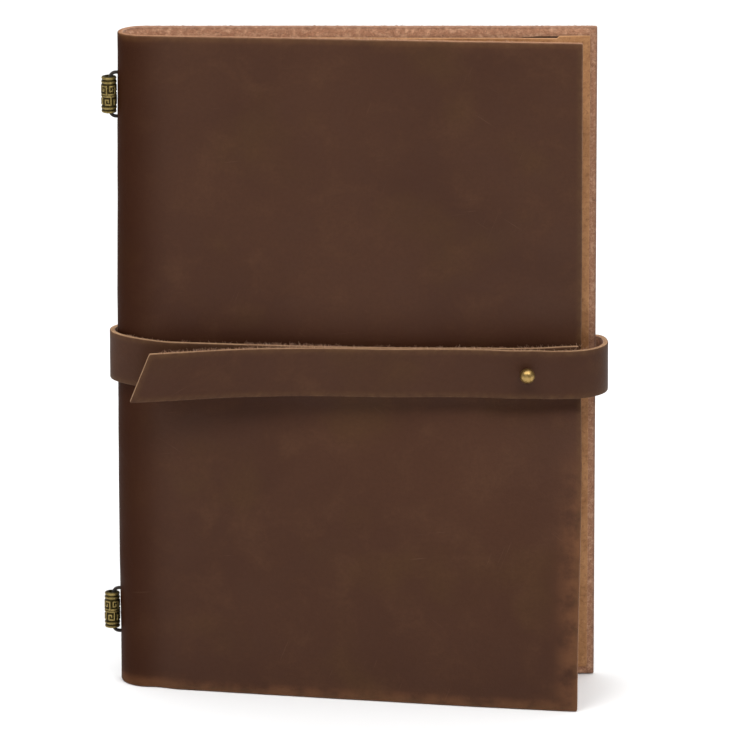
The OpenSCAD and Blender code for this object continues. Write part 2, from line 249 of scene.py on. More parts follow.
FORE_START_D = outer_tail_depth(np.array([FORE_LOOP_X]))[0]
FORE_CREST_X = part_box("strap_fore_loop")[1].x / MM - ORIGIN_X - STRAP_T / 2
FORE_POINTS, FORE_SQUARE = 33, 0.85
BACK_STEP, TAIL_STEP = 1.0, 1.5


def fore_route(phi0, phi1, points, end_x, end_d, power=1):
    """Part of the loop round the fore-edge, from its crest at 0 degrees to its end on a panel at 90."""
    phi = np.radians(np.linspace(phi0, phi1, points))
    x = end_x + (FORE_CREST_X - end_x) * np.maximum(np.cos(phi), 0) ** power
    d = mix(FORE_CREST_D, end_d, np.sin(phi))
    return np.stack([x, d, np.full_like(x, STRAP_Z_FORE)], axis=1)


def run_route(x0, x1, depth, height, step):
    x = np.linspace(x0, x1, int(abs(x1 - x0) / step) + 1)
    return np.stack([x, depth(x), height(x)], axis=1)


# --- Mesh tools ---

# Edges that turn more than this stay sharp.
CRISP = math.radians(60)
# The leather's waves and the grain of its cut edge: lengths, and the grain's height.
LONG_WAVE, SHORT_WAVE, CUT_GRAIN, CUT_ROUGH = 60, 17, 2.3, 0.05


def ripple(a, b, scale, seed):
    """A smooth wandering value of about -1 to 1, from waves in fixed random directions."""
    rng = random.Random(seed)
    total = 0
    for _ in range(7):
        turn = rng.uniform(0, math.pi)
        wave = rng.uniform(0.6, 1.7) * scale
        total = total + np.sin((a * math.cos(turn) + b * math.sin(turn)) * 2 * math.pi / wave
                               + rng.uniform(0, 6.28))
    return total / 4


def add_object(name, data):
    obj = bpy.data.objects.new(name, data)
    bpy.context.scene.collection.objects.link(obj)
    return obj


def new_object(name, points, faces, materials, attributes, indices=None, uvs=None):
    """A smooth-shaded mesh object, with float or vector attributes on its points."""
    mesh = bpy.data.meshes.new(name)
    mesh.from_pydata([tuple(p) for p in points], [], [tuple(f) for f in faces])
    for material in materials:
        mesh.materials.append(material)
    if indices is not None:
        mesh.polygons.foreach_set("material_index", indices)
    mesh.polygons.foreach_set("use_smooth", [True] * len(mesh.polygons))
    for key, values in attributes.items():
        kind, field = ("FLOAT_VECTOR", "vector") if values.ndim == 2 else ("FLOAT", "value")
        layer = mesh.attributes.new(key, kind, "POINT")
        layer.data.foreach_set(field, values.astype(np.float32).ravel())
    if uvs is not None:
        layer = mesh.uv_layers.new(name="sheet_metres")
        corner = np.zeros(len(mesh.loops), np.int32)
        mesh.loops.foreach_get("vertex_index", corner)
        layer.data.foreach_set("uv", uvs.astype(np.float32)[corner].ravel())
    mesh.validate()
    shell = bmesh.new()
    shell.from_mesh(mesh)
    bmesh.ops.recalc_face_normals(shell, faces=shell.faces)
    for line in shell.edges:
        line.smooth = len(line.link_faces) != 2 or line.calc_face_angle() < CRISP
    shell.to_mesh(mesh)
    shell.free()
    mesh.update()
    return add_object(name, mesh)


def ring_faces(count, sides, closed):
    """The faces between each ring of points and the next, and from the last to the first where closed."""
    faces = []
    for i in range(count if closed else count - 1):
        j = (i + 1) % count
        for k in range(sides):
            m = (k + 1) % sides
            faces.append([i * sides + k, i * sides + m, j * sides + m, j * sides + k])
    return faces


def stops(low, high, step, free_low, free_high, edge, exact):
    """Grid lines from low to high, and how many steps in from a free, rounded end each one lies."""
    quarter = edge * (1 - math.sin(math.pi / 4))
    marks = sorted({low + (edge if free_low else 0), high - (edge if free_high else 0), *exact})
    inner = []
    for a, b in zip(marks, marks[1:]):
        count = max(1, round((b - a) / step))
        inner += [a + (b - a) * k / count for k in range(count)]
    inner.append(marks[-1])
    lines, rings = inner, [2] * len(inner)
    if free_low:
        lines, rings = [low, low + quarter] + lines, [0, 1] + rings
    if free_high:
        lines, rings = lines + [high - quarter, high], rings + [1, 0]
    return np.array(lines), np.array(rings)


def round_corner(a, b, a_end, b_end, radius):
    """Bends the grid near a free corner so that the corner is an arc."""
    da, db = (a - a_end) / radius, (b - b_end) / radius
    sa, sb = np.sign(np.mean(a) - a_end), np.sign(np.mean(b) - b_end)
    ua, ub = 1 - da * sa, 1 - db * sb
    inside = (ua > 0) & (ub > 0)
    va = ua * np.sqrt(np.maximum(0, 1 - ub * ub / 2))
    vb = ub * np.sqrt(np.maximum(0, 1 - ua * ua / 2))
    return (np.where(inside, a_end + sa * radius * (1 - va), a),
            np.where(inside, b_end + sb * radius * (1 - vb), b))


def leather_sheet(name, face, size, thickness, materials, free="lrbt", step=2.0, edge=0.3, corner=CORNER_R,
                  start=0.0, wave=0.0, exact=((), ()), holes=(), rounds=(), wear=None, fold=None, seed=1):
    """A closed sheet of leather. face(a, b) gives its outer face's x, depth and z and the inward x and
    depth; a runs along it from 0 to size[0], b across it to size[1]. free names the cut sides: l and r are
    the ends of a, b and t the ends of b. holes are a from, a to, b from and b to, rounds are a, b and a
    radius. The materials are those of the grain side, flesh side and cut edge."""
    spread = (-1, -0.4, 0.4, 1)
    a_exact = [c + k * r for c, _, r in rounds for k in spread if 0 <= c + k * r <= size[0]]
    a_exact += list(exact[0])
    b_exact = [c + k * r for _, c, r in rounds for k in spread] + list(exact[1])
    holes = list(holes) + [(p - r, p + r, q - r, q + r) for p, q, r in rounds]
    a_lines, a_rings = stops(0, size[0], step, "l" in free, "r" in free, edge, a_exact)
    b_lines, b_rings = stops(0, size[1], step, "b" in free, "t" in free, edge, b_exact)
    a, b = np.meshgrid(a_lines, b_lines, indexing="ij")
    for p, q, r in rounds:
        da, db = a - p, b - q
        rim = np.abs(np.maximum(np.abs(da), np.abs(db)) - r) < 1e-6
        pull = np.where(rim, r / np.maximum(np.hypot(da, db), 1e-9), 1)
        a, b = p + da * pull, q + db * pull
    level = np.minimum(a_rings[:, None], b_rings[None, :])
    for side_a, end_a in (("l", 0.0), ("r", size[0])):
        for side_b, end_b in (("b", 0.0), ("t", size[1])):
            if side_a in free and side_b in free:
                a, b = round_corner(a, b, end_a, end_b, corner)
    drop = np.choose(level, [edge, edge * (1 - math.cos(math.pi / 4)), 0.0])
    x, depth, z, nx, nd = face(a, b)
    reach = a + start
    lift = wave * ripple(reach, b, LONG_WAVE, seed) + 0.3 * wave * ripple(reach, b, SHORT_WAVE, seed + 1)
    away = np.full_like(a, 1e3)
    for side, far in (("l", a), ("r", size[0] - a), ("b", b), ("t", size[1] - b)):
        if side in free:
            away = np.minimum(away, far)
    rows, cols = a.shape
    outline = [(i, 0) for i in range(rows)] + [(rows - 1, j) for j in range(1, cols)]
    outline += [(i, cols - 1) for i in range(rows - 2, -1, -1)] + [(0, j) for j in range(cols - 2, 0, -1)]
    oi, oj = np.array(outline).T

    def layer(offset, i=slice(None), j=slice(None)):
        k = offset + lift[i, j]
        across, deep = x[i, j] + nx[i, j] * k, depth[i, j] + nd[i, j] * k
        return place(across.ravel(), deep.ravel(), z[i, j].ravel())

    cut = [0.25, 0.5, 0.75]
    rim_lines = []
    for k, share in enumerate(cut):
        rough = CUT_ROUGH * ripple(reach[oi, oj] + 3 * k, b[oi, oj], CUT_GRAIN, seed + 5 + k)
        rim_lines.append(mix(edge, thickness - edge, share) + rough)
    points = np.concatenate([layer(drop), layer(thickness - drop)]
                            + [layer(offset, oi, oj) for offset in rim_lines])
    n, m = rows * cols, len(outline)

    def number(i, j, side):
        return i * cols + j + side * n

    def gone(i, j):
        am, bm = (a_lines[i] + a_lines[i + 1]) / 2, (b_lines[j] + b_lines[j + 1]) / 2
        return any(h[0] < am < h[1] and h[2] < bm < h[3] for h in holes)

    faces, kinds = [], []
    cells = [(i, j) for i in range(rows - 1) for j in range(cols - 1)]
    open_cells = {cell for cell in cells if gone(*cell)}
    for i, j in cells:
        if (i, j) in open_cells:
            continue
        quad = [(i, j), (i, j + 1), (i + 1, j + 1), (i + 1, j)]
        faces.append([number(p, q, 0) for p, q in quad])
        faces.append([number(p, q, 1) for p, q in reversed(quad)])
        kinds += [0, 1]
        around = [(i - 1, j), (i, j + 1), (i + 1, j), (i, j - 1)]
        for (p, q), (r, s), beside in zip(quad, quad[1:] + quad[:1], around):
            if beside in open_cells:
                faces.append([number(r, s, 0), number(p, q, 0), number(p, q, 1), number(r, s, 1)])
                kinds.append(2)
    rings = [[number(i, j, 0) for i, j in outline]]
    rings += [[2 * n + k * m + q for q in range(m)] for k in range(len(cut))]
    rings += [[number(i, j, 1) for i, j in outline]]
    kept = []
    for q, ((i, j), (p, r)) in enumerate(zip(outline, outline[1:] + outline[:1])):
        if (min(i, p, rows - 2), min(j, r, cols - 2)) not in open_cells:
            kept.append((q, (q + 1) % m))
    for upper, lower in zip(rings, rings[1:]):
        faces += [[upper[q], upper[r], lower[r], lower[q]] for q, r in kept]
        kinds += [2] * len(kept)
    along, up, near = (np.concatenate([v.ravel()] * 2 + [v[oi, oj]] * len(cut))
                       for v in (reach, b, away))
    through = np.concatenate([drop.ravel(), (thickness - drop).ravel()]
                             + [np.full(m, mix(edge, thickness - edge, share)) for share in cut])
    worn = np.zeros_like(along) if wear is None else wear(along - start, up)
    # Painted shade: how much darker each point is painted, from the given function.
    dark = np.zeros_like(along) if fold is None else fold(along - start, up, through)
    used = np.zeros(len(points), bool)
    used[np.array(faces)] = True
    faces = (np.cumsum(used) - 1)[np.array(faces)].tolist()
    sheet = np.stack([along, up, through], axis=1)
    attributes = {"sheet": sheet[used], "edge": near[used], "wear": worn[used], "fold": dark[used]}
    return new_object(name, points[used], faces, materials, attributes, kinds, sheet[used][:, :2] * MM)


def travelled(path):
    """The length along a path, up to each of its points."""
    return np.concatenate([[0], np.cumsum(np.linalg.norm(np.diff(path, axis=0), axis=1))])


def route_face(route, width, hand, slant):
    """The face function of a strap of that width along a route of x, depth and z. hand is 1 where the
    route runs with the fore-edge ahead of it at the back, and -1 where it runs the other way."""
    length = travelled(route)
    tangent = np.gradient(route, length, axis=0)
    flat = np.hypot(tangent[:, 0], tangent[:, 1])
    nx, nd = -hand * tangent[:, 1] / flat, hand * tangent[:, 0] / flat

    def face(a, b):
        s = a * (1 + slant * (1 - b / width) / length[-1])
        at = [np.interp(s, length, values) for values in (route[:, 0], route[:, 1], route[:, 2], nx, nd)]
        past = np.maximum(s - length[-1], 0)
        x = at[0] + past * tangent[-1, 0] - at[3] * STRAP_T / 2
        d = at[1] + past * tangent[-1, 1] - at[4] * STRAP_T / 2
        return x, d, at[2] + past * tangent[-1, 2] + b - width / 2, at[3], at[4]

    return face, length[-1]


# --- Materials ---


class Shader:
    """A short way to write a material. Values that are sockets are linked, others are set."""

    def __init__(self, name):
        self.material = bpy.data.materials.new(name)
        self.material.use_nodes = True
        self.tree = self.material.node_tree

    def feed(self, socket, value):
        if isinstance(value, bpy.types.NodeSocket):
            self.tree.links.new(value, socket)
        elif hasattr(socket.default_value, "__len__") and len(socket.default_value) == 4:
            socket.default_value = (*value, 1)
        else:
            socket.default_value = value

    def node(self, kind, inputs, **settings):
        made = self.tree.nodes.new("ShaderNode" + kind)
        for key, value in settings.items():
            setattr(made, key, value)
        for key, value in inputs.items():
            self.feed(made.inputs[key], value)
        return made

    def attribute(self, name, output="Fac"):
        return self.node("Attribute", {}, attribute_name=name).outputs[output]

    def sheet(self):
        """The place on the flat sheet or along a tube, in millimetres."""
        return self.attribute("sheet", "Vector")

    def shifted(self, vector, x, y):
        return self.node("VectorMath", {0: vector, 1: (x, y, 0)}, operation="ADD").outputs[0]

    def position(self):
        return self.node("TexCoord", {}).outputs["Object"]

    def scaled(self, vector, scale, turn=0.0):
        inputs = {"Vector": vector, "Scale": scale, "Rotation": (0, 0, turn)}
        return self.node("Mapping", inputs, vector_type="TEXTURE").outputs["Vector"]

    def noise(self, vector, size, detail, rough=0.55, twist=0.0):
        inputs = {"Vector": vector, "Scale": 1 / size, "Detail": detail, "Roughness": rough}
        return self.node("TexNoise", {**inputs, "Distortion": twist}).outputs["Fac"]

    def cells(self, vector, size):
        inputs = {"Vector": vector, "Scale": 1 / size}
        return self.node("TexVoronoi", inputs, feature="SMOOTH_F1").outputs["Distance"]

    def math(self, operation, a, b=0.0, c=0.0):
        made = self.node("Math", {0: a, 1: b}, operation=operation)
        if operation == "MULTIPLY_ADD":
            self.feed(made.inputs[2], c)
        return made.outputs[0]

    def between(self, value, low, high, to_low=0.0, to_high=1.0):
        inputs = {"Value": value, "From Min": low, "From Max": high, "To Min": to_low, "To Max": to_high}
        return self.node("MapRange", inputs, interpolation_type="SMOOTHSTEP").outputs["Result"]

    def blend(self, share, a, b):
        return self.node("Mix", {0: share, 6: a, 7: b}, data_type="RGBA").outputs[2]

    def bump(self, height, millimetres):
        inputs = {"Height": height, "Strength": 1.0, "Distance": millimetres * MM}
        return self.node("Bump", inputs).outputs["Normal"]

    def strand(self, along, around):
        """A ridge that winds round a tube, by its angle per millimetre along it and per radian around."""
        parts = self.node("SeparateXYZ", {0: self.sheet()}).outputs
        turn = self.math("MULTIPLY_ADD", parts[0], along, self.math("MULTIPLY", parts[1], around))
        return self.math("ABSOLUTE", self.math("SINE", turn))

    def cover(self, share, tone):
        """Lays a tone over the colour so far."""
        self.colour = self.blend(share, self.colour, tone)

    def finish(self, roughness, **others):
        surface = self.tree.nodes["Principled BSDF"]
        for key, value in {"Base Color": self.colour, "Roughness": roughness, **others}.items():
            self.feed(surface.inputs[key.replace("_", " ")], value)
        return self.material


def rgb(red, green, blue):
    """A linear colour from display values of 0 to 255."""
    return tuple((v / 255 / 12.92) if v < 10.3 else ((v / 255 + 0.055) / 1.055) ** 2.4
                 for v in (red, green, blue))


def grain_leather(name, shade=1.0, shift=0.0, rubbed=0.9):
    """Oiled pull-up leather, grain side: mottled dark brown, fine pores, a few scratches, worn edges."""
    s = Shader(name)
    sheet = s.shifted(s.sheet(), shift, shift * 0.7)
    dark, middle, light, olive = (tuple(c * shade for c in rgb(*tone)) for tone in
                                  ((58, 30, 15), (71, 42, 25), (84, 55, 36), (78, 52, 23)))
    patches = s.noise(sheet, 14, 5, 0.62, 0.3)
    s.colour = s.blend(s.between(s.noise(sheet, 60, 3, 0.5, 0.6), 0.3, 0.7), middle, dark)
    s.cover(0.5, middle)
    s.cover(s.between(patches, 0.45, 0.75, 0, 0.5), light)
    s.cover(s.between(s.noise(sheet, 30, 2, 0.5), 0.52, 0.75, 0, 0.35), olive)
    speckle = s.noise(sheet, 1.4, 4, 0.68)
    s.cover(s.between(speckle, 0.35, 0.72, 0, 0.3), dark)
    lines = None
    for turn, seed in ((0.12, 40), (1.2, 90), (-0.6, 150)):
        moved = s.shifted(sheet, seed, seed)
        streak = s.noise(s.scaled(moved, (26, 0.55, 1), turn), 1, 2, 0.5)
        here = s.between(s.noise(moved, 22, 2), 0.52, 0.68)
        scratch = s.math("MULTIPLY", s.between(streak, 0.69, 0.76), here)
        lines = scratch if lines is None else s.math("MAXIMUM", lines, scratch)
    s.cover(s.math("MULTIPLY", lines, 0.3), rgb(116, 88, 66))
    # Painted shade: the grain turns dark brown where the sheet's painted shade attribute says, round the
    # spine's bend and beside the strap.
    s.cover(s.attribute("fold"), tuple(c * shade for c in rgb(45, 19, 7)))
    edge = s.attribute("edge")
    frayed = s.math("MULTIPLY_ADD", s.noise(sheet, 2.2, 4), 1.3, -0.3)
    band = s.math("MULTIPLY", s.between(edge, 0.4, 2.6, 0.5, 0), frayed)
    s.cover(band, rgb(104, 76, 44))
    rub = s.math("MULTIPLY", s.between(edge, 0.05, 0.6, rubbed, 0), frayed)
    s.cover(rub, rgb(134, 98, 72))
    worn = s.math("MULTIPLY", s.attribute("wear"), s.between(s.noise(sheet, 10, 5, 0.6), 0.3, 0.62))
    s.cover(worn, rgb(106, 68, 42))
    pores = s.cells(sheet, 0.75)
    fine = s.noise(sheet, 0.3, 3, 0.6)
    creases = s.noise(s.scaled(sheet, (2.5, 1.0, 1), 0.5), 1.6, 4, 0.6)
    height = s.math("MULTIPLY_ADD", pores, 0.6, s.math("MULTIPLY", fine, 0.5))
    height = s.math("MULTIPLY_ADD", creases, 0.9, height)
    height = s.math("MULTIPLY_ADD", lines, -0.5, height)
    rough = s.between(patches, 0.25, 0.75, 0.55, 0.7)
    # Less specular where the painted shade lies, so that it stays dark.
    gloss = s.between(s.attribute("fold"), 0, 0.8, 0.2, 0.05)
    return s.finish(rough, Normal=s.bump(height, 0.08), Specular_IOR_Level=gloss)


def flesh_leather(name, tones=((170, 123, 94), (220, 168, 135), (240, 196, 162))):
    """The suede-like flesh side: matted short fibres, dark flecks, a darker outer rim, and painted shade from
    the sheet's attribute.
    """
    s = Shader(name)
    sheet = s.sheet()
    fibres = s.noise(s.scaled(sheet, (1.6, 0.6, 1), 0.6), 1.0, 8, 0.75, 1.5)
    crossed = s.noise(s.scaled(sheet, (1.8, 0.6, 1), -0.8), 1.1, 8, 0.75, 1.5)
    mat = s.math("MAXIMUM", fibres, crossed)
    low, middle, high = (rgb(*t) for t in tones)
    s.colour = s.blend(s.between(mat, 0.46, 0.7), low, middle)
    s.cover(s.between(s.noise(sheet, 2.0, 5, 0.7), 0.45, 0.7, 0, 0.7), high)
    flecks = s.between(s.noise(sheet, 1.6, 6, 0.78, 0.8), 0.3, 0.46, 0.75, 0)
    s.cover(flecks, tuple(0.45 * c for c in low))
    rim = s.math("MULTIPLY", s.between(s.attribute("edge"), 0.1, 0.9, 0.9, 0), s.noise(sheet, 1.8, 4))
    s.cover(rim, rgb(104, 84, 78))
    # Painted shade on the flesh side: inside the pocket, in the gap of its mouth, and in the strip beside it.
    s.cover(s.attribute("fold"), rgb(44, 22, 14))
    return s.finish(0.95, Normal=s.bump(mat, 0.35), Specular_IOR_Level=0.15,
                    Sheen_Weight=0.15, Sheen_Roughness=0.5)


def cut_leather(name, tones=((128, 88, 62), (176, 132, 100), (205, 168, 136))):
    """The cut edge: pale fibres packed in layers."""
    s = Shader(name)
    sheet = s.sheet()
    layers = s.noise(s.scaled(sheet, (2.6, 2.6, 0.45)), 0.9, 7, 0.7, 0.8)
    grit = s.noise(sheet, 0.5, 6, 0.75, 1.0)
    low, middle, high = (rgb(*t) for t in tones)
    s.colour = s.blend(s.between(layers, 0.35, 0.68), low, middle)
    s.cover(s.between(grit, 0.5, 0.75, 0, 0.8), high)
    s.cover(s.between(s.noise(sheet, 9, 3), 0.35, 0.7, 0, 0.35), low)
    height = s.math("MULTIPLY_ADD", grit, 0.8, layers)
    return s.finish(0.9, Normal=s.bump(height, 0.22), Specular_IOR_Level=0.25)


def tan_leather(name):
    """Natural tan leather, with fibrous flecks and a faint print of pores; its tones are darkened partly as
    painted shade from the front panel in front of the pocket.
    """
    s = Shader(name)
    sheet = s.sheet()
    clouds = s.noise(sheet, 16, 5, 0.6, 0.4)
    specks = s.noise(sheet, 1.4, 6, 0.72, 0.6)
    # Painted shade: these tones are darkened partly to stand for the front panel's shade on the pocket.
    s.colour = s.blend(s.between(clouds, 0.3, 0.7), rgb(150, 104, 64), rgb(178, 130, 86))
    s.cover(s.between(specks, 0.46, 0.72, 0, 0.7), rgb(112, 72, 44))
    s.cover(s.between(specks, 0.3, 0.44, 0.5, 0), rgb(196, 150, 108))
    height = s.math("MULTIPLY_ADD", s.cells(sheet, 0.9), 0.6, specks)
    return s.finish(0.65, Normal=s.bump(height, 0.1), Specular_IOR_Level=0.3)


def old_brass(name):
    """Antique brass: polished where it stands proud, dark in the recesses."""
    s = Shader(name)
    where = s.position()
    relief = s.attribute("relief")
    blotch = s.noise(where, 0.0011, 5, 0.65)
    shine = s.between(s.math("MULTIPLY_ADD", blotch, 0.8, relief), 0.6, 1.5)
    s.colour = s.blend(shine, rgb(46, 38, 16), rgb(158, 138, 84))
    s.cover(s.between(s.noise(where, 0.0006, 4), 0.45, 0.7, 0, 0.6), rgb(92, 80, 38))
    rough = s.between(shine, 0, 1, 0.6, 0.42)
    height = s.noise(where, 0.00025, 4, 0.6)
    return s.finish(rough, Metallic=0.92, Normal=s.bump(height, 0.03))


def bright_brass(name):
    """Satin brass with fine turning marks and a little tarnish."""
    s = Shader(name)
    where = s.position()
    tarnish = s.noise(where, 0.0022, 5, 0.6, 0.5)
    s.colour = s.blend(s.between(tarnish, 0.4, 0.75), rgb(176, 146, 92), rgb(134, 106, 56))
    marks = s.noise(where, 0.00035, 5, 0.7)
    rough = s.between(marks, 0.3, 0.75, 0.34, 0.5)
    return s.finish(rough, Metallic=1.0, Normal=s.bump(marks, 0.01))


def braided_cord(name):
    """Elastic in a braided sleeve: two families of strands that cross along the cord."""
    s = Shader(name)
    height = s.math("MAXIMUM", s.strand(5.2, 8), s.strand(5.2, -8))
    s.colour = s.blend(s.between(height, 0.5, 1), rgb(18, 14, 11), rgb(50, 39, 31))
    return s.finish(0.85, Normal=s.bump(height, 0.12), Sheen_Weight=0.2)


def waxed_thread(name):
    """Two-ply waxed thread."""
    s = Shader(name)
    ply = s.strand(9.0, 2.0)
    s.colour = s.blend(ply, rgb(140, 108, 74), rgb(206, 178, 136))
    return s.finish(0.6, Normal=s.bump(ply, 0.08))


def pale_floor(name):
    s = Shader(name)
    where = s.position()
    s.colour = s.blend(s.between(s.noise(where, 0.4, 3), 0.3, 0.7), (0.86, 0.86, 0.86), (0.88, 0.88, 0.88))
    return s.finish(0.9, Specular_IOR_Level=0.1)


COVER = [grain_leather("cover_grain"), flesh_leather("cover_flesh"), cut_leather("cover_cut_edge")]
STRAP = [grain_leather("strap_grain", 0.96, 400, 0.3), flesh_leather("strap_flesh"),
         cut_leather("strap_cut_edge", ((136, 102, 74), (186, 148, 112), (210, 178, 144)))]
POCKET = [tan_leather("pocket_grain"),
          flesh_leather("pocket_flesh", ((136, 96, 62), (176, 132, 92), (196, 154, 116))),
          cut_leather("pocket_cut_edge", ((150, 108, 74), (194, 152, 112), (216, 180, 142)))]
FIBRE = flesh_leather("leather_fibres", ((170, 128, 102), (206, 166, 138), (222, 190, 164)))
OLD_BRASS = old_brass("antique_brass")
BRIGHT_BRASS = bright_brass("bright_brass")
CORD = braided_cord("elastic_sleeve")
THREAD = waxed_thread("waxed_thread")


# --- Loose fibres on the cut edges ---

FAR_FROM_EDGE = 9.0
FIBRE_THICK, FIBRE_STEPS = 0.075 * MM, 4
THIRD_TURN = 2.094


def fibre_piece(name, roots, seed, length=(0.5, 1.6)):
    """Short curled fibres that grow from points of cut edges. roots are points, outward directions and
    directions along the edge, in the row frame."""
    rng = random.Random(seed)
    points, faces = [], []
    for root, out, along in roots:
        size = rng.uniform(*length) * rng.uniform(0.5, 1.0)
        lean = rng.uniform(-1.3, 1.3)
        curl = rng.uniform(-1.2, 1.2)
        aside = np.cross(out, along) * rng.uniform(-0.5, 0.5)
        base = len(points)
        for k in range(FIBRE_STEPS + 1):
            t = k / FIBRE_STEPS
            step = out * (t - 0.12) + along * (lean * t + curl * t * t) * 0.6 + aside * t
            thick = FIBRE_THICK * (1 - 0.6 * t)
            for q in range(3):
                spin = q * THIRD_TURN
                rim = math.cos(spin) * along + math.sin(spin) * np.cross(out, along)
                points.append(root + size * MM * step + thick * rim)
        faces += [[base + v for v in face] for face in ring_faces(FIBRE_STEPS + 1, 3, False)]
        tip = base + 3 * FIBRE_STEPS
        faces += [[base + 2, base + 1, base], [tip, tip + 1, tip + 2]]
    sheet = np.array(points) / MM
    away = np.full(len(sheet), FAR_FROM_EDGE)
    return new_object(name, points, faces, [FIBRE], {"sheet": sheet, "edge": away})


def edge_roots(face, spans, b, thickness, seed):
    """Fibre roots on the top edge, at b, of a sheet: spans are (a from, a to, fibres per millimetre)."""
    rng = random.Random(seed)
    roots = []
    for low, high, thick in spans:
        for _ in range(int((high - low) * thick)):
            a = np.array([rng.uniform(low, high)])
            offset = rng.uniform(0.15, 0.85) * thickness
            x, d, z, nx, nd = face(a, np.array([float(b)]))
            root = place(x + nx * offset, d + nd * offset, z)[0]
            along = np.array([-nd[0], -nx[0], 0.0])
            roots.append((root, np.array([0, 0, 1.0]), along))
    return roots


# --- Cover ---


def spot(x, depth, z=115.0):
    """One point of the design as a point of the row frame."""
    return tuple(float(v) for v in place(np.array(x), np.array(depth), np.array(z)))


FLAT_LEN = BACK_W - SPINE_BACK_X
BACK_ARC, FRONT_ARC = 13.0, 14.9
CREST_ROW = 0.2
# Keeps the last row of the back half on the back's side of the crest.
JUST_SHORT = 0.99999
CREST_AT = FLAT_LEN + BACK_ARC
FRONT_HALF_LEN = FRONT_ARC + (FRONT_X - SPINE_FRONT_X) + FRONT_LEN

POCKET_TOP = POCKET_Z + POCKET_H
MOUTH_END_X = POCKET_X + POCKET_W - 10.5
# Heights below the pocket's top where the shade in its mouth changes.
MOUTH_SHADE_ROWS = (1.7, 1.4, 1.1, 0.8, 0.5, 0.35)
# How dark the painted shade is: round the spine's bend, above and below the strap, inside the pocket, and in
# the strip beside the pocket.
BEND_SHADE, ABOVE_STRAP_SHADE, BELOW_STRAP_SHADE = 0.72, 0.42, 0.3
IN_POCKET_SHADE, MARGIN_SHADE = 0.9, 0.25
BAND_WEAR, FOOT_WEAR, HEAD_WEAR = 0.85, 0.75, 0.3


def either(test, first, second):
    """The first face where the test holds, the second elsewhere."""
    return [np.where(test, p, q) for p, q in zip(first, second)]


def back_half_face(a, z):
    """The back panel from its fore-edge to the spine, and the back half of the spine's bend up to the crest.
    """
    phi = np.clip((a - FLAT_LEN) / BACK_ARC, 0, 1) * np.pi / 2 * JUST_SHORT
    return either(a < FLAT_LEN, (BACK_W - a, 0, z, 0, 1), spine_face(phi, z))


def front_half_face(a, z):
    """The front half of the spine's bend, from the crest, and the front panel."""
    phi = np.pi / 2 * (1 + np.clip(a / FRONT_ARC, 0, 1))
    u = (a - FRONT_HALF_LEN + FRONT_LEN) / FRONT_LEN
    return either(a < FRONT_ARC, spine_face(phi, z), front_face(u, z))


def front_wear(a, z):
    """Where handling has lightened the front panel: a band along the lower part of its fore-edge."""
    from_edge = FRONT_HALF_LEN - a
    band = ramp((10 - from_edge) / 9) * ramp((96 - z) / 40) * BAND_WEAR
    foot = ramp((5 - z) / 4) * FOOT_WEAR
    head = ramp((z - COVER_H + 3.5) / 3) * HEAD_WEAR
    return np.maximum(np.maximum(band, foot), head)


def front_fold_shade(a, z, through):
    """Painted shade on the grain side: darker where the leather bends round the spine away from the light,
    and above and below the strap, in its shade.
    """
    above = ABOVE_STRAP_SHADE * np.exp(-(((z - PRESS_Z - PRESS_HALF - 1) / 11) ** 2)) * (z > PRESS_Z)
    below = BELOW_STRAP_SHADE * np.exp(-(((z - PRESS_Z + PRESS_HALF + 2) / 9) ** 2)) * (z <= PRESS_Z)
    spine = BEND_SHADE * ramp((FRONT_ARC + 12 - a) / 22)
    return np.where(through < COVER_T / 2, np.maximum(spine, above + below * ramp((95 - a) / 50)), 0)


def back_fold_shade(a, z, through):
    """The same painted shade behind, round the spine's bend. On the flesh side, painted shade inside the
    pocket, where no light gets, and a darker strip beside the pocket at the back's fore-edge.
    At the mouth the painted shade ends in a wedge that rises to the mouth's right end, standing in for the
    shadowed gap behind the pocket's mouth."""
    to_mouth_end = BACK_W - a - MOUTH_END_X
    wedge = 1.3 * ramp(1 + (to_mouth_end + 4) / 22) * (to_mouth_end < 0.2)
    shade_top = POCKET_TOP - MOUTH_SHADE_ROWS[0] + wedge
    in_pocket = (a > BACK_W - POCKET_X - POCKET_W + 0.5) & (a < BACK_W - POCKET_X - 0.5)
    in_pocket &= (z > POCKET_Z + 0.5) & (z < shade_top)
    grain = BEND_SHADE * ramp((a - FLAT_LEN + 3) / 16)
    margin = MARGIN_SHADE * ramp((BACK_W - POCKET_X - POCKET_W + 0.6 - a) / 0.8)
    return np.where(through < COVER_T / 2, grain, np.where(in_pocket, IN_POCKET_SHADE, margin))


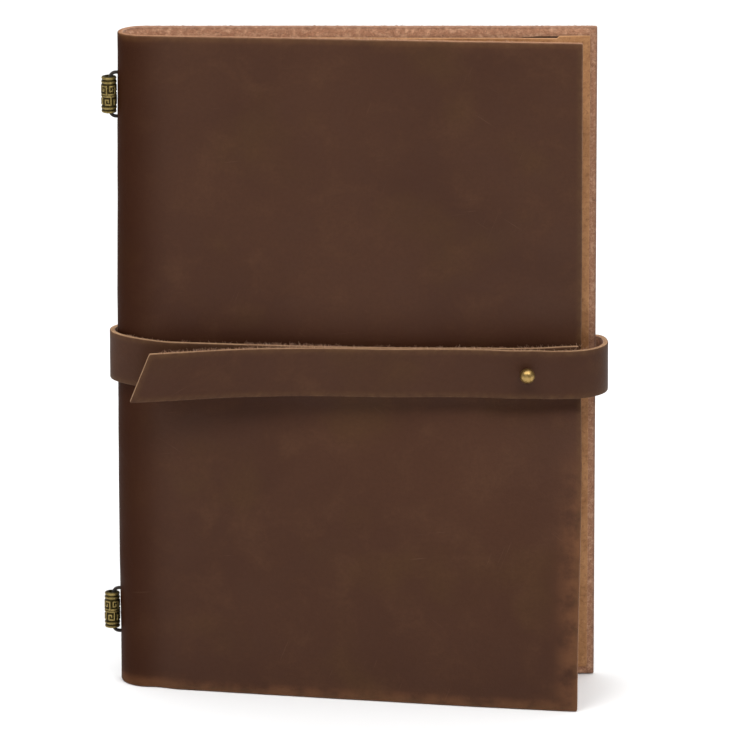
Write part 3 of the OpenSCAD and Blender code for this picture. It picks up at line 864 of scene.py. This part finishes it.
def make_cover():
    slit_z = (STRAP_Z_SPINE - SLIT_H / 2, STRAP_Z_SPINE + SLIT_H / 2)
    slits = [(BACK_W - x - SLIT_W / 2, BACK_W - x + SLIT_W / 2, *slit_z) for x in (SLIT_A_X, SLIT_B_X)]
    mouth = BACK_W - MOUTH_END_X
    rows = [FLAT_LEN + BACK_ARC * k / 14 for k in range(14)] + [CREST_AT - CREST_ROW]
    rows += [mouth - 0.4, *(mouth + 3 * k for k in range(9))]
    heights = [POCKET_TOP - k for k in MOUTH_SHADE_ROWS]
    exact = (rows + [end for slit in slits for end in slit[:2]], (*slit_z, *heights))
    eyes = [bz + dz for bz in BEAD_ZS for dz in (-ELASTIC_HOLE_DZ, ELASTIC_HOLE_DZ)]
    back = leather_sheet("cover_back_half", back_half_face, (CREST_AT, COVER_H), COVER_T, COVER, "lbt",
                         exact=exact, holes=slits, rounds=[(CREST_AT, z, ELASTIC_HOLE_R) for z in eyes],
                         wave=0.12, fold=back_fold_shade)
    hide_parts("back_cover")
    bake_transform(back)
    rows = [CREST_ROW] + [FRONT_ARC * k / 16 for k in range(1, 17)]
    front = leather_sheet("cover_front_half", front_half_face, (FRONT_HALF_LEN, COVER_H), COVER_T, COVER,
                          "rbt", start=CREST_AT, exact=(rows, []), wave=0.12, wear=front_wear,
                          rounds=[(0, z, ELASTIC_HOLE_R) for z in eyes], fold=front_fold_shade)
    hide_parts("front_cover", "spine_fold")
    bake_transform(front)


# --- Strap ---


def strap_piece(name, route, hand, free, nodes, fuzz=(), slant=0.0, rounds=(), start=0.0):
    """A piece of the strap along a route, with the fibres on its cut edges. Returns its length. fuzz is
    along from, along to and fibres per millimetre of the top edge."""
    face, length = route_face(route, STRAP_W, hand, slant)
    piece = leather_sheet(name, face, (length, STRAP_W), STRAP_T, STRAP, free, step=1.2, edge=0.2,
                          corner=0.5, start=start, wave=0.05, rounds=rounds, seed=20)
    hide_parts(*nodes)
    roots = edge_roots(face, fuzz, STRAP_W, STRAP_T, 71)
    pieces = [piece] + ([fibre_piece(name + "_fibres", roots, 73)] if roots else [])
    for part in pieces:
        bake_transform(part)
    return length


def make_strap():
    run = run_route(SLIT_A_X, LOOP_BACK_X + 0.3, back_run_depth, back_run_z, BACK_STEP)
    back = np.concatenate([run, spine_loop_route(0, 90)])
    length = strap_piece("strap_round_spine", back, -1, "bt", ["strap_spine_loop"])

    tail = run_route(FRONT_X + 0.1, INNER_TAIL_END, inner_tail_depth, inner_tail_z, TAIL_STEP)
    inner = np.concatenate([spine_loop_route(90, 180)[:-1], tail])
    strap_piece("strap_inner_layer", inner, -1, "rbt", ["strap_inner_tail"],
                fuzz=[(10, 50, 1.0), (50, 85, 5.0), (85, 165, 1.5)], start=length)

    run = run_route(SLIT_A_X, FORE_LOOP_X, back_run_depth, back_run_z, BACK_STEP)
    back = np.concatenate([run, fore_route(90, 0, 17, BACK_W, BACK_RUN_D)])
    length = strap_piece("strap_back_layer", back, 1, "bt", ["strap_back_run"])

    tail = run_route(FORE_LOOP_X, TIP_TOP_X, outer_tail_depth, outer_tail_z, TAIL_STEP)
    loop = fore_route(0, 90, FORE_POINTS, FORE_LOOP_X + 0.3, FORE_START_D, FORE_SQUARE)
    outer = np.concatenate([loop[:-1], tail])
    travel = travelled(outer)
    on_tail = slice(FORE_POINTS, None)
    at_stud = np.interp(-STUD_X - 0.25, -outer[on_tail, 0], travel[on_tail])
    at_stud /= 1 + TIP_SLANT / 2 / travel[-1]
    up = STUD_Z - outer_tail_z(np.array([STUD_X]))[0] + STRAP_W / 2
    strap_piece("strap_outer_layer", outer, 1, "rbt", ["strap_fore_loop", "strap_outer_tail"],
                fuzz=[(12, 90, 1.5), (90, 158, 4.0)],
                slant=TIP_SLANT, start=length, rounds=[(at_stud, up, BUTTON_HOLE_R)])


# --- Pocket ---

MOUTH_END = MOUTH_END_X - POCKET_X
MOUTH_DROP, MOUTH_GAPE, MOUTH_STEP = 0.6, 2.0, 0.8


def pocket_face(a, b):
    share, up = a / POCKET_W, b / POCKET_H
    bow = POCKET_BOW * np.sin(np.pi * np.clip(share, 0, 1)) ** 0.6 * ramp(up * 4)
    mouth = ramp((MOUTH_END - a) / MOUTH_STEP)
    z = POCKET_Z + b - MOUTH_DROP * mouth * ramp((b - POCKET_H + 12) / 12)
    gape = MOUTH_GAPE * mouth * share ** 6 * ramp((b - POCKET_H + 30) / 30)
    d = COVER_T + POCKET_T + bow + gape
    return POCKET_X + a, d, z, 0 * a, -1 + 0 * a


def make_pocket():
    corner = [MOUTH_END, MOUTH_END - MOUTH_STEP / 2, MOUTH_END - MOUTH_STEP]
    panel = leather_sheet("pocket_panel", pocket_face, (POCKET_W, POCKET_H), POCKET_T, POCKET, edge=0.2,
                          exact=(corner, []), seed=50)
    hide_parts("inner_pocket")
    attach(panel, "back")


# --- Turned and swept pieces ---


def swept_tube(name, path, radius, material, sides, closed=False):
    """A tube along a path. Its attribute "sheet" holds the length along it, in millimetres, and the angle."""
    n = len(path)
    if closed:
        tangent = np.roll(path, -1, axis=0) - np.roll(path, 1, axis=0)
    else:
        tangent = np.gradient(path, axis=0)
    tangent /= np.linalg.norm(tangent, axis=1)[:, None]
    across = np.cross(tangent, (0, 1, 0))
    across /= np.linalg.norm(across, axis=1)[:, None]
    other = np.cross(tangent, across)
    turns = np.linspace(0, 2 * np.pi, sides, endpoint=False)
    points = path[:, None] + radius * (np.cos(turns)[None, :, None] * across[:, None]
                                       + np.sin(turns)[None, :, None] * other[:, None])
    length = travelled(path) / MM
    faces = ring_faces(n, sides, closed)
    points = points.reshape(-1, 3)
    if not closed:
        faces += [list(range(sides))[::-1], [(n - 1) * sides + k for k in range(sides)]]
    sheet = np.stack([np.repeat(length, sides), np.tile(turns, n), np.zeros(n * sides)], axis=1)
    return new_object(name, points, faces, [material], {"sheet": sheet})


def lathe(name, profile, material, centre, axis, relief=None, sides=64):
    """A solid turned from a closed profile of (radius, height) in millimetres."""
    profile = np.asarray(profile, float)
    axis = Vector(axis).normalized()
    across = axis.orthogonal().normalized()
    other = axis.cross(across)
    turns = np.linspace(0, 2 * np.pi, sides, endpoint=False)
    radius, height = np.repeat(profile.T[:, :, None], sides, axis=2)
    mark = np.zeros_like(radius)
    if relief is not None:
        rise, mark = relief(turns + 0 * radius, height, radius)
        radius = radius + rise
    points = (np.array(centre)[None, None]
              + MM * (radius * np.cos(turns))[..., None] * np.array(across)
              + MM * (radius * np.sin(turns))[..., None] * np.array(other)
              + MM * height[..., None] * np.array(axis))
    faces = ring_faces(len(profile), sides, True)
    return new_object(name, points.reshape(-1, 3), faces, [material], {"relief": mark.ravel()})


def meander(turn, height):
    """Distance in millimetres to a raised wire that runs round a bead as a row of square scrolls."""
    unit = 3.7
    around = BEAD_D / 2 * turn
    pitch = math.pi * BEAD_D / round(math.pi * BEAD_D / unit)
    best = np.full(np.broadcast(turn, height).shape, 1e3)
    scroll = [(0, 0.1), (0.86, 0.1), (0.86, 0.86), (0.24, 0.86), (0.24, 0.42), (0.56, 0.42), (0.56, 0.62)]
    for row, flip in ((0, 1), (1, -1)):
        x = np.mod(around + row * pitch / 2, pitch) / pitch
        y = height * flip / unit
        for (x0, y0), (x1, y1) in zip(scroll, scroll[1:]):
            for shift in (-1, 0, 1):
                dx, dy = x1 - x0, y1 - y0
                t = np.clip(((x - x0 - shift) * dx + (y - y0) * dy) / (dx * dx + dy * dy), 0, 1)
                gap = np.hypot((x - x0 - shift - t * dx) * pitch, (y - y0 - t * dy) * unit)
                best = np.minimum(best, gap)
    return best


RELIEF_DEPTH, RELIEF_SLOPE, BEAD_TAPER, BORE_POLISH = 0.26, 0.42, 0.2, 0.15


def bead_relief(turn, height, radius):
    """Two ring ridges at each end and the meander between them, as a rise and a polish mark."""
    outside = radius > BEAD_BORE / 2 + 0.4
    end = np.abs(height)
    rings = (BEAD_L / 2 - 0.55, BEAD_L / 2 - 1.9)
    ridges = sum(np.exp(-(((end - at) / RELIEF_SLOPE) ** 2)) for at in rings)
    wire = 1 - ramp((meander(turn, height) - 0.06) / RELIEF_SLOPE)
    middle = ramp((BEAD_L / 2 - 2.6 - end) / 0.3)
    high = np.clip(np.maximum(ridges, wire * middle), 0, 1)
    rise = -RELIEF_DEPTH + RELIEF_DEPTH * high - BEAD_TAPER * (end * 2 / BEAD_L) ** 4
    return np.where(outside, rise, 0), np.where(outside, high, BORE_POLISH)


def make_bead(name, node):
    lo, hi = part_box(node)
    centre = (lo + hi) / 2
    h, r, bore, rows = BEAD_L / 2, BEAD_D / 2 + 0.05, BEAD_BORE / 2, 96
    outer = [(r, h - 0.25 - (BEAD_L - 0.5) * k / rows) for k in range(rows + 1)]
    profile = ([(bore, h - 0.2), (bore + 0.2, h), (r - 0.6, h)] + outer
               + [(r - 0.6, -h), (bore + 0.2, -h), (bore, -h + 0.2), (bore, 0)])
    bead = lathe(name, profile, OLD_BRASS, centre, (0, 0, 1), bead_relief, sides=128)
    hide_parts(node)
    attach(bead, "spine")


# --- Stitches, elastic, stud ---

THREAD_D, STITCH_INSET, STITCH_PITCH, STITCH_L = 0.6, 4.6, 5.0, 3.0
STITCH_RISE, STITCH_DIVE = 0.36, 0.75


def stitch_path(a, b, da, db):
    """One stitch of the pocket: out of the leather, along it and back in."""
    t = np.linspace(-1, 1, 9)
    length = STITCH_L / 2 * t
    x, d, z, _, _ = pocket_face(a + da * length, b + db * length)
    rise = STITCH_RISE - STITCH_DIVE * np.abs(t) ** 4
    return place(x, d + rise, z)


def make_stitches():
    rows = [(side, z, 0, 1) for side in (STITCH_INSET, POCKET_W - STITCH_INSET)
            for z in np.arange(2 * STITCH_INSET, POCKET_H - 2 * STITCH_INSET + 0.01, STITCH_PITCH)]
    rows += [(x, STITCH_INSET, 1, 0)
             for x in np.arange(2 * STITCH_INSET + 2, POCKET_W - 2 * STITCH_INSET - 1.99, STITCH_PITCH)]
    parts = [swept_tube("stitch", stitch_path(*row), THREAD_D / 2 * MM, THREAD, 8) for row in rows]
    thread = joined("pocket_thread", parts)
    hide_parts("pocket_stitching")
    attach(thread, "back")


def joined(name, parts):
    """One object made of several that share a material."""
    whole = bmesh.new()
    for part in parts:
        whole.from_mesh(part.data)
    mesh = bpy.data.meshes.new(name)
    whole.to_mesh(mesh)
    whole.free()
    mesh.materials.append(parts[0].data.materials[0])
    for part in parts:
        bpy.data.objects.remove(part)
    return add_object(name, mesh)


def elastic_points():
    """The closed route of the elastic: places along x, depths from the spine's crest, heights."""
    def turn(z, up, side):
        hole = z + up * ELASTIC_HOLE_DZ
        return [(BEAD_X + 0.45, 0, z + up * 5.6), (BEAD_X + 0.55, 0, z + up * 6.5), (-1.7, 0, z + up * 7.35),
                (-0.7, 0, hole), (0.6, 0, hole), (2.6, 0, hole), (4, side * 0.7, z + up * 7.5)]
    foot, head = BEAD_ZS
    run_x, run_d = 4.6, 1.6
    return (turn(head, 1, 1) + [(run_x, run_d, z) for z in (head + 4, 150, 82, foot - 4)]
            + turn(foot, -1, 1)[::-1] + turn(foot, 1, -1)
            + [(run_x, -run_d, z) for z in (foot + 14, 82, 150, head - 14)] + turn(head, -1, -1)[::-1])


def make_elastic():
    knots = np.array(elastic_points())
    a, b = np.roll(knots, 1, axis=0), knots
    c, d = np.roll(knots, -1, axis=0), np.roll(knots, -2, axis=0)
    path = []
    for i in range(len(knots)):
        for t in np.linspace(0, 1, 8, endpoint=False):
            path.append(0.5 * (2 * b[i] + (c[i] - a[i]) * t + (2 * a[i] - 5 * b[i] + 4 * c[i] - d[i]) * t * t
                               + (3 * b[i] - a[i] - 3 * c[i] + d[i]) * t ** 3))
    path = np.array(path)
    line = place(path[:, 0], crest_depth(path[:, 2]) + path[:, 1], path[:, 2])
    cord = swept_tube("spine_cord", line, ELASTIC_D / 2 * MM, CORD, 14, closed=True)
    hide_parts("spine_elastic")
    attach(cord, "spine")


def make_stud():
    foot = inner_tail_depth(np.array([STUD_X - 1, STUD_X, STUD_X + 1]))
    turn = math.atan2(foot[0] - foot[2], 2)
    axis = (math.sin(turn), -math.cos(turn), 0)
    base = np.array(spot(STUD_X, foot[1] + STRAP_T / 2, STUD_Z))
    post, ball, neck = 1.3, 2.6, STRAP_T + STRAP_GAP + 0.8
    centre = STUD_LIE + neck + math.sqrt(ball ** 2 - post ** 2)
    low = math.asin(post / ball)
    globe = [(ball * math.sin(t), centre - ball * math.cos(t))
             for t in np.linspace(low, math.pi - 0.02, 40)]
    profile = ([(0.03, STUD_LIE), (2.6, STUD_LIE), (2.8, STUD_LIE + 0.15), (2.7, STUD_LIE + 0.4),
                (post, STUD_LIE + 0.45)] + globe)
    knob = lathe("stud_knob", profile, BRIGHT_BRASS, base, axis)
    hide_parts("stud_ball")
    head = -STRAP_T - STUD_LIE
    profile = [(0.03, STUD_LIE), (post, STUD_LIE), (post, head), (3.1, head), (3.2, head - 0.15),
               (3.1, head - 0.6), (0.6, head - 0.6), (0.5, head - 0.35), (0.03, head - 0.35)]
    screw = lathe("stud_back_screw", profile, BRIGHT_BRASS, base, axis)
    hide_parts("stud_screw")
    for piece in (knob, screw):
        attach(piece, "front")


def make_cover_fibres():
    """Fibres on the cover's cut edges at the head."""
    spans = [(FRONT_ARC + 2, 60, 1.0), (60, 110, 2.5), (110, FRONT_HALF_LEN - 1, 1.0)]
    roots = edge_roots(front_half_face, spans, COVER_H, COVER_T, 61)
    front = fibre_piece("cover_front_fibres", roots, 63, (0.4, 1.2))
    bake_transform(front)
    roots = edge_roots(back_half_face, [(1, FLAT_LEN, 3.0)], COVER_H, COVER_T, 64)
    back = fibre_piece("cover_back_fibres", roots, 65, (0.3, 1.0))
    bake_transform(back)


# --- Build ---

BEAD_X = (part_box("lower_bead")[0].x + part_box("lower_bead")[1].x) / 2 / MM - ORIGIN_X
STUD_LIE = 0.06

make_cover()
make_strap()
make_pocket()
make_stitches()
make_elastic()
make_bead("bead_head", "upper_bead")
make_bead("bead_foot", "lower_bead")
make_stud()
make_cover_fibres()

# --- Studio ---

scene = bpy.context.scene


def make_floor():
    reach, parts = 3.0, 24
    shape = bmesh.new()
    bmesh.ops.create_grid(shape, x_segments=parts, y_segments=parts, size=reach)
    mesh = bpy.data.meshes.new("floor")
    shape.to_mesh(mesh)
    shape.free()
    mesh.materials.append(pale_floor("floor"))
    floor = add_object("floor", mesh)
    floor.location.z = cad_lo[2] - 0.0002


def aimed(name, data, target, azimuth, elevation, distance):
    """A lamp or camera that looks at the target from that direction, in degrees, and distance."""
    az, el = math.radians(azimuth), math.radians(elevation)
    away = Vector((math.sin(az) * math.cos(el), -math.cos(az) * math.cos(el), math.sin(el)))
    obj = add_object(name, data)
    obj.location = Vector(target) + away * distance
    obj.rotation_euler = (-away).to_track_quat("-Z", "Y").to_euler()
    return obj


def make_softbox(name, azimuth, elevation, distance, size, power):
    lamp = bpy.data.lights.new(name, "AREA")
    lamp.size = size
    lamp.energy = power
    aimed(name, lamp, (0, 0, 0.11), azimuth, elevation, distance)


def make_camera():
    lens = bpy.data.cameras.new("camera")
    lens.lens, lens.sensor_width, lens.clip_end = 592, 36, 50
    scene.camera = aimed("camera", lens, (0.0032, 0, 0.1163), azimuth=0, elevation=17, distance=4.068)


def make_world():
    world = bpy.data.worlds.new("world")
    world.use_nodes = True
    back = world.node_tree.nodes["Background"]
    back.inputs["Color"].default_value = (1, 1, 1, 1)
    back.inputs["Strength"].default_value = 0.25
    scene.world = world


make_floor()
make_softbox("softbox_left", azimuth=-37, elevation=55, distance=1.4, size=0.6, power=6)
make_softbox("softbox_right", azimuth=37, elevation=55, distance=1.4, size=0.6, power=6)
make_softbox("softbox_top", azimuth=180, elevation=80, distance=3.0, size=6.0, power=190)
make_camera()
make_world()
scene.view_settings.view_transform = "Standard"
